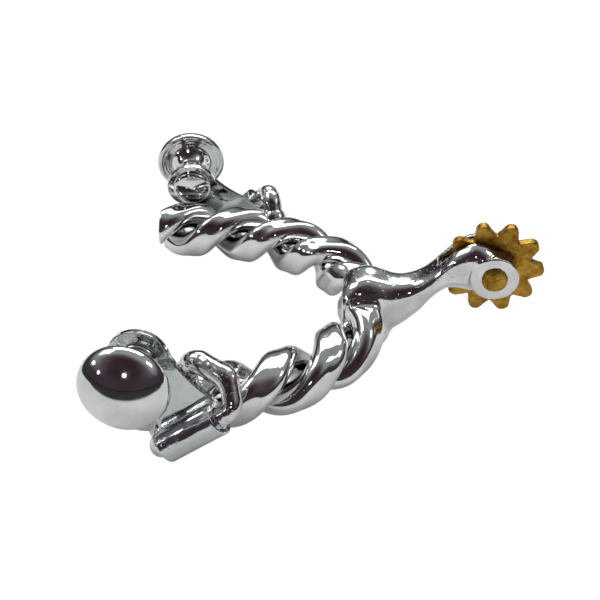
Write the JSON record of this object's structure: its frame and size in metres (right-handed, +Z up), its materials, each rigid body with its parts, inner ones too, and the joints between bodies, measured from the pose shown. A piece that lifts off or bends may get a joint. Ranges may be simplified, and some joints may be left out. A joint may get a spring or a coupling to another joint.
{
  "type": "western spur",
  "caption": "Western spur: rope-twist heel band, raised fixed shank with a spinning brass rowel, and domed strap buttons on swinging hangers.",
  "frame": {"origin": "on the inner face of the heel band, in the middle plane of the spur and of the band", "axes": "+X back along the shank to the rowel, +Y to the wearer's right side, +Z up"},
  "size_m": [0.119, 0.1377, 0.0445],
  "materials": {
    "band": "polished chrome plate over a cast twist",
    "shank": "polished chrome plate with casting pits round the yoke",
    "rowel": "rough cast brass with rounded edges",
    "pin": "peened brass rivet",
    "staple": "chrome plate over a rough weld",
    "hanger": "chrome plate on rolled sheet",
    "button": "mirror chrome",
    "rivet": "polished chrome rivet"
  },
  "bodies": {
    "heel_band": {"band_strand_a": "band", "band_strand_b": "band", "shank": "shank", "rowel_pin": "pin", "left_hinge_staple": "staple", "right_hinge_staple": "staple"},
    "rowel_wheel": {"rowel": "rowel"},
    "left_swing": {"left_hanger": "hanger", "left_button_dome": "button", "left_button_post": "button", "left_button_rivet": "rivet"},
    "right_swing": {"right_hanger": "hanger", "right_button_dome": "button", "right_button_post": "button", "right_button_rivet": "rivet"}
  },
  "joints": [
    {"name": "rowel_spin", "type": "hinge", "parent": "heel_band", "child": "rowel_wheel", "pos_m": [0.0423, 0, 0.017], "axis": [0, 1, 0], "continuous": true},
    {"name": "left_hanger_swing", "type": "hinge", "parent": "heel_band", "child": "left_swing", "pos_m": [-0.0332, -0.0556, 0.0018], "axis": [0.7986, 0, 0.6018], "range_deg": [-6, 120]},
    {"name": "right_hanger_swing", "type": "hinge", "parent": "heel_band", "child": "right_swing", "pos_m": [-0.0359, 0.059, -0.0033], "axis": [-0.7314, 0, -0.682], "range_deg": [-1, 120]}
  ]
}
